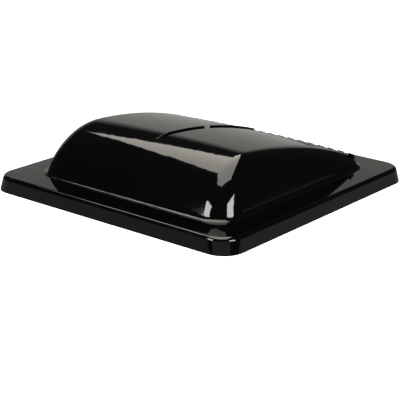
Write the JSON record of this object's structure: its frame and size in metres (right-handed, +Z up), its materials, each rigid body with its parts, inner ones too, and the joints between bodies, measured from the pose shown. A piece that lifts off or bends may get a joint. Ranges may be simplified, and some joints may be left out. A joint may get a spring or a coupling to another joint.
{
  "type": "roof vent cover",
  "caption": "Domed, louvred lid for a square roof vent, with hinge leaf, crank-arm track and slider, seal and screened rain tray.",
  "frame": {"origin": "centre of the square skirt's bottom plane, on which the lid stands", "axes": "+Z up; -Y is the tall front of the dome, +Y the louvred and hinged rear; X runs along the hinge"},
  "size_m": [0.415, 0.415, 0.0913],
  "materials": {
    "shell_black": "high gloss",
    "sponge_black": "matt closed-cell sponge",
    "hinge_steel": "zinc plated",
    "rivet_alloy": "satin",
    "track_steel": "zinc plated",
    "screw_steel": "zinc plated",
    "bumper_rubber": "matt",
    "slider_nylon": "natural nylon",
    "bush_brass": "machined",
    "tray_plastic": "fine texture",
    "seal_foam": "open-cell foam",
    "mesh_alloy": "woven wire",
    "frame_plastic": "fine texture"
  },
  "bodies": {
    "lid": {"lid_shell": "shell_black", "perimeter_gasket": "sponge_black", "lid_hinge_leaf": "hinge_steel", "hinge_rod": "hinge_steel", "hinge_rivets": "rivet_alloy", "rivet_washers": "rivet_alloy", "lift_track": "track_steel", "track_bumpers": "bumper_rubber", "track_screws": "screw_steel", "track_washers": "screw_steel", "baffle_tray": "tray_plastic", "tray_seal": "seal_foam", "tray_screws": "screw_steel", "insect_screen": "mesh_alloy", "screen_frame": "frame_plastic", "screen_screws": "screw_steel"},
    "base_leaf": {"base_hinge_leaf": "hinge_steel"},
    "slider": {"slide_block": "slider_nylon", "slide_bush": "bush_brass"}
  },
  "joints": [
    {"name": "lid_hinge", "type": "hinge", "parent": "lid", "child": "base_leaf", "pos_m": [0, 0.186, 0.0152], "axis": [1, 0, 0], "range_deg": [0, 60]},
    {"name": "arm_slide", "type": "slide", "parent": "lid", "child": "slider", "axis": [0, -1, 0], "range_m": [0, 0.125]}
  ]
}
